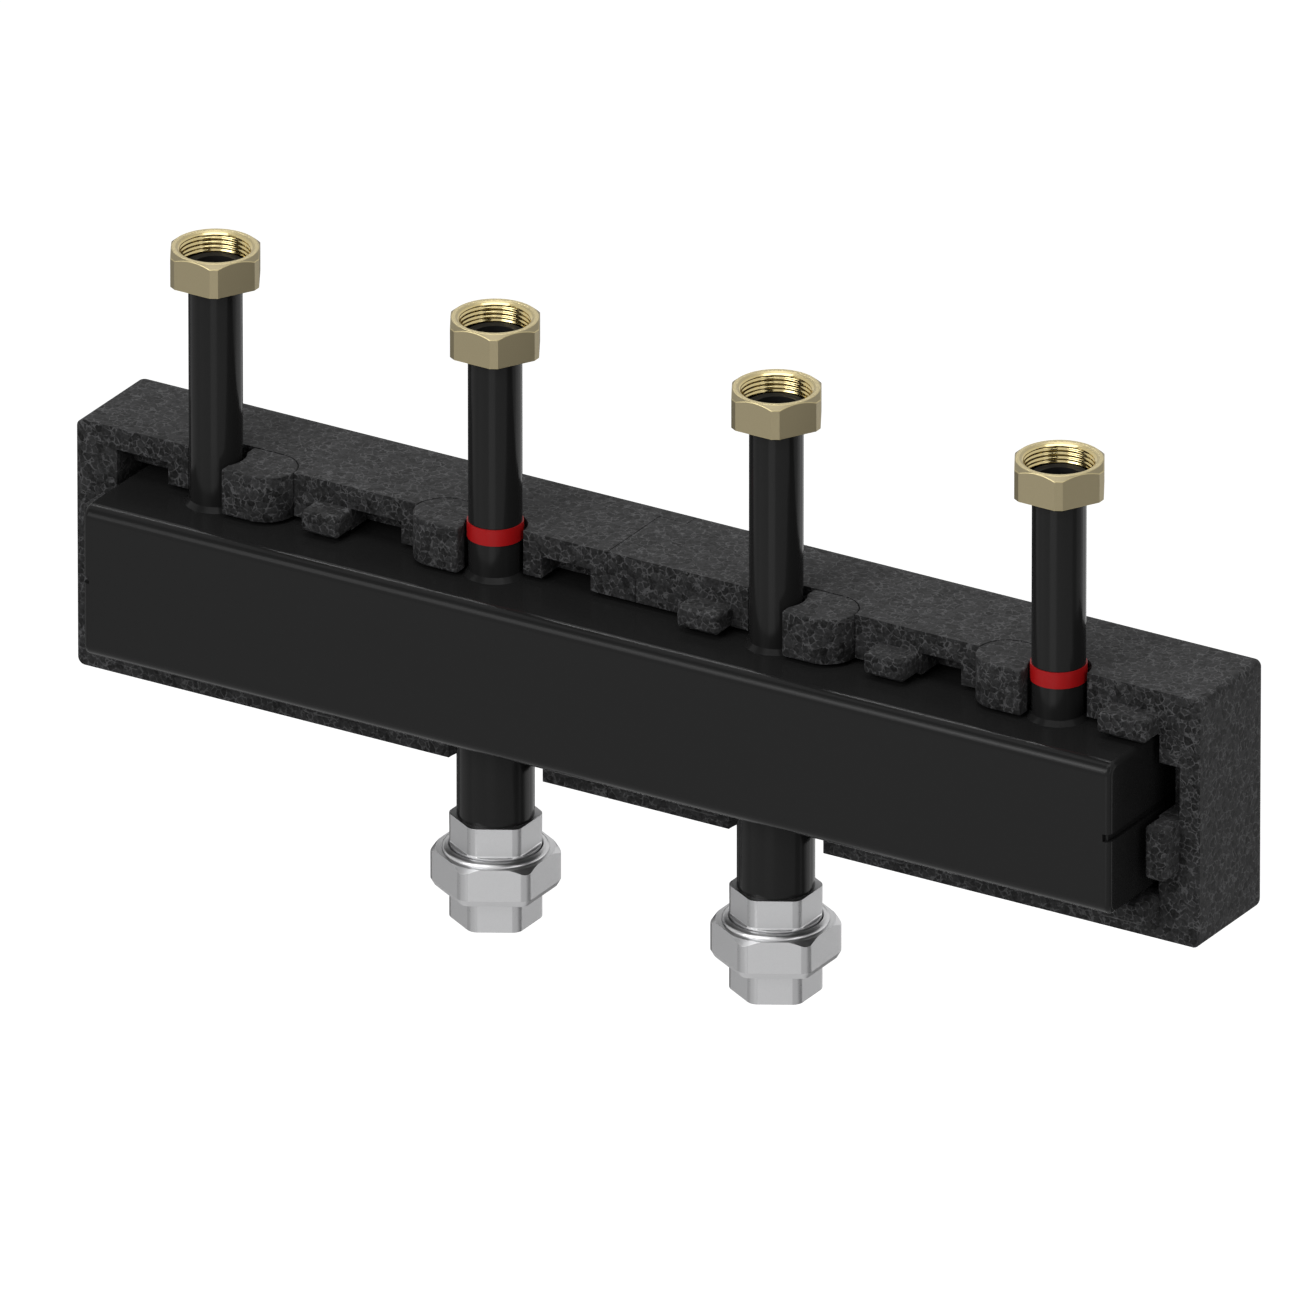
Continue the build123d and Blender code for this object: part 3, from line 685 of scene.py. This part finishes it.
# Screwed unions, in millimetres. Their hexagons have a flat at 0 degrees.
unionPlan = {
    "flats": 32.0, "cornerRadius": 4.5, "tailTop": -69.4, "tailLow": -81.3, "fillet": 0.6,
    "neckRadius": 17.7, "collarRadius": 19.2, "collarTop": -85.9, "seat": -89.3,
    "wallRadius": 13.22, "socketDepth": 12.0, "boreRadius": 11.6, "threadWall": 14.1,
    "nutFlats": 44.5, "nutCornerRadius": 4.8, "openingRadius": 17.979, "crownLand": 0.4,
    "crownRadius": 20.7, "crown": -82.0, "face": -83.7, "faceRadius": 22.9,
    "flatLow": -96.8, "bevelLow": -99.5, "bevelInset": 1.5, "threadRadius": 19.7, "seatGap": 0.1,
    "endLow": -112.8, "sealLow": -91.3, "threadGap": 0.15, "mouthBevel": 0.5, "mouthSlope": 1.0,
    "edge": 0.3 * mm, "firstCorner": halfFlat,
    "steps": 10, "nutSteps": 14, "filletSteps": 4, "crownSteps": 8,
}


# What the hexagons of a union share: the angles of the columns, the outline, and the
# material of each column's strip. The flats are blank, and the rounded corners smoother
# and a darker zinc, a painted shade that draws the dark bands on them.
def unionHexagon(plan, flats, cornerRadius, steps, faceRadius=0.0):
    reach = cornerReach(flats, cornerRadius)
    breaks = [reach]
    if faceRadius:
        breaks.append(halfFlat - math.acos(flats / 2 / faceRadius))
    angles = hexAngles(plan["firstCorner"], breaks, steps)
    outline = hexRadius(angles, flats, plan["firstCorner"], cornerRadius=cornerRadius)
    middle = angles + np.diff(angles, append=angles[0] + 2 * math.pi) / 2
    fromCorner = angleFromCorner(middle, plan["firstCorner"])
    return angles, outline, np.where(np.abs(fromCorner) < reach, roundCorner, blank)


# One piece of a union, from its rows and the material of each strip between them
def unionPiece(name, node, plan, rows, angles, strips):
    mesh = ringMesh(name, sweepRows(rows, angles, *pipeAxis(node)), strips, zincFinishes)
    easeEdges(newPiece(name, mesh, "manifold", "zinc", node), plan["edge"])


def unionTail(name, plan):
    angles, hexagon, finish = unionHexagon(
        plan, plan["flats"], plan["cornerRadius"], plan["steps"])
    socketLow = plan["tailTop"] - plan["socketDepth"]
    # a hollow fillet joins the hexagon to the round neck: out by one minus a cosine,
    # down by a sine
    swing = np.linspace(0, math.pi / 2, plan["filletSteps"])
    fillet = [(np.minimum(hexagon + plan["fillet"] * (1 - math.cos(a)), plan["neckRadius"]),
               plan["tailLow"] + plan["fillet"] * (1 - math.sin(a))) for a in swing]
    rows = [
        (plan["wallRadius"], plan["tailTop"]), (hexagon, plan["tailTop"]), *fillet,
        (plan["neckRadius"], plan["tailLow"]), (plan["neckRadius"], plan["collarTop"]),
        (plan["collarRadius"], plan["collarTop"]), (plan["collarRadius"], plan["seat"]),
        (plan["boreRadius"], plan["seat"]), (plan["boreRadius"], socketLow),
        (plan["wallRadius"], socketLow),
    ]
    strips = [turned, finish] + [turned] * (len(rows) - 2)
    unionPiece(f"unionTail_{name}", f"coupling_tail_{name}", plan, rows, angles, strips)


def unionNut(name, plan):
    angles, hexagon, finish = unionHexagon(
        plan, plan["nutFlats"], plan["nutCornerRadius"], plan["nutSteps"], plan["faceRadius"])
    inner = hexRadius(angles, plan["nutFlats"] - 2 * plan["bevelInset"], plan["firstCorner"],
                      cornerRadius=plan["nutCornerRadius"] - plan["bevelInset"])
    face = np.minimum(hexagon, plan["faceRadius"])
    # the crown is a quarter round from its land at the opening down to the face:
    # radius grows as a sine, height falls as the cosine
    start = plan["openingRadius"] + plan["crownLand"]
    crown = [(start + (plan["crownRadius"] - start) * math.sin(a),
              plan["face"] + (plan["crown"] - plan["face"]) * math.cos(a))
             for a in np.linspace(0, math.pi / 2, plan["crownSteps"])]
    inside = plan["collarTop"] + plan["seatGap"]
    rows = [
        (plan["openingRadius"], plan["crown"] - plan["crownLand"]), *crown,
        (face, plan["face"]), (hexagon, plan["face"] - (hexagon - face)),
        (hexagon, plan["flatLow"]), (inner, plan["bevelLow"]),
        (plan["threadRadius"], plan["bevelLow"]), (plan["threadRadius"], inside),
        (plan["openingRadius"], inside),
    ]
    strips = [turned] * (len(crown) + 2) + [finish, blank] + [turned] * 4
    unionPiece(f"unionNut_{name}", f"coupling_nut_{name}", plan, rows, angles, strips)


def unionEnd(name, plan):
    angles, hexagon, finish = unionHexagon(
        plan, plan["flats"], plan["cornerRadius"], plan["steps"])
    top, socketTop = plan["bevelLow"] + plan["seatGap"], plan["endLow"] + plan["socketDepth"]
    outside = plan["threadRadius"] - plan["threadGap"]
    mouth = plan["endLow"] + plan["mouthBevel"]
    rows = [
        (outside, plan["sealLow"]), (outside, top), (hexagon, top), (hexagon, plan["endLow"]),
        (plan["threadWall"] + plan["mouthBevel"], plan["endLow"]), (plan["threadWall"], mouth),
        (plan["threadWall"], socketTop), (plan["boreRadius"], socketTop),
        (plan["boreRadius"], plan["sealLow"]),
    ]
    strips = [turned, turned, finish] + [turned] * (len(rows) - 3)
    node = f"coupling_end_{name}"
    unionPiece(f"unionEnd_{name}", node, plan, rows, angles, strips)
    points = threadRing(threadPlan, *pipeAxis(node), mouth, socketTop + threadPlan["backing"],
                        "bottom", plan["threadWall"], plan["mouthSlope"])
    ring = ringMesh(f"unionThread_{name}", points, [0] * len(points), [zincTurned], openSeam=True)
    newPiece(f"unionThread_{name}", ring, "manifold", "zinc")


for name in lowerPipes:
    unionTail(name, unionPlan)
    unionNut(name, unionPlan)
    unionEnd(name, unionPlan)
print("unions made")


# The two mouldings of the case press together at their seam. The CAD keeps a gap of
# 0.3 mm there, so thin strips of the same foam, sunk in both of them, stop the light.
# The seam steps sideways in the outer layer of the top and bottom walls, where it has
# strips of its own. All of these are millimetres.
seamPlan = {
    "edgeInset": 1.2,                         # between a strip and the outside
    "back": (-0.5, 0.2, -9.2, -1.2),          # left, right, front and back side
    "outer": (-13.0, -12.3, -46.8, -10.5),
    "outerDepth": 8.0,
}
boxFaces = [(0, 2, 3, 1), (4, 5, 7, 6), (0, 1, 5, 4), (2, 6, 7, 3), (0, 4, 6, 2), (1, 3, 7, 5)]


# each strip is a box: two levels of four corners, and the six faces between them
def seamStrips(plan):
    low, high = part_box("insulation_rear_right")
    top, bottom = high.z / mm - plan["edgeInset"], low.z / mm + plan["edgeInset"]
    reach = plan["outerDepth"] - plan["edgeInset"]
    strips = [(plan["back"], bottom, top), (plan["outer"], top - reach, top),
              (plan["outer"], bottom, bottom + reach)]
    corners, faces = [], []
    for (left, right, front, back), lowest, highest in strips:
        first = len(corners)
        corners += [(x * mm, y * mm, z * mm)
                    for z in (lowest, highest) for y in (front, back) for x in (left, right)]
        faces += [tuple(first + i for i in face) for face in boxFaces]
    mesh = bpy.data.meshes.new("seamStrips")
    mesh.from_pydata(corners, [], faces)
    mesh.materials.append(foam)
    newPiece("seamStrips", mesh, "manifold", "foam")


seamStrips(seamPlan)
print("seam closed")


# Foam keeps no crisp edge: loose triangles are joined, flat faces made whole, and
# the edges rounded by a small radius.
def softenFoam(node, plan):
    join = node.modifiers.new("joinedFaces", "WELD")
    join.merge_threshold = plan["joinReach"]
    flat = node.modifiers.new("wholeFaces", "DECIMATE")
    flat.decimate_type, flat.angle_limit = "DISSOLVE", math.radians(plan["flatAngle"])
    bevel = node.modifiers.new("roundedEdges", "BEVEL")
    bevel.width, bevel.segments = plan["edge"], plan["bevelSegments"]
    bevel.limit_method, bevel.angle_limit = "ANGLE", math.radians(plan["bevelAngle"])
    bevel.use_clamp_overlap = True


# The CAD nodes that stay take the finish of their material slot.
finishes = {
    "foam": foam, "coated_steel": coat, "brass": brassTurned,
    "zinc": zincTurned, "red": ringPlastic, "gasket": gasketRubber,
}
slotOfNode = {part["node"]: part["material_slot"] for part in frame["record"]["subparts"]}
for nodeName, node in frame["nodes"].items():
    finish = finishes[slotOfNode[nodeName]]
    node.data.materials.clear()
    node.data.materials.append(finish)
    if finish is foam:
        softenFoam(node, foamPlan)
print("finishes given to the CAD nodes")

bpy.context.scene.view_settings.view_transform = "Standard"
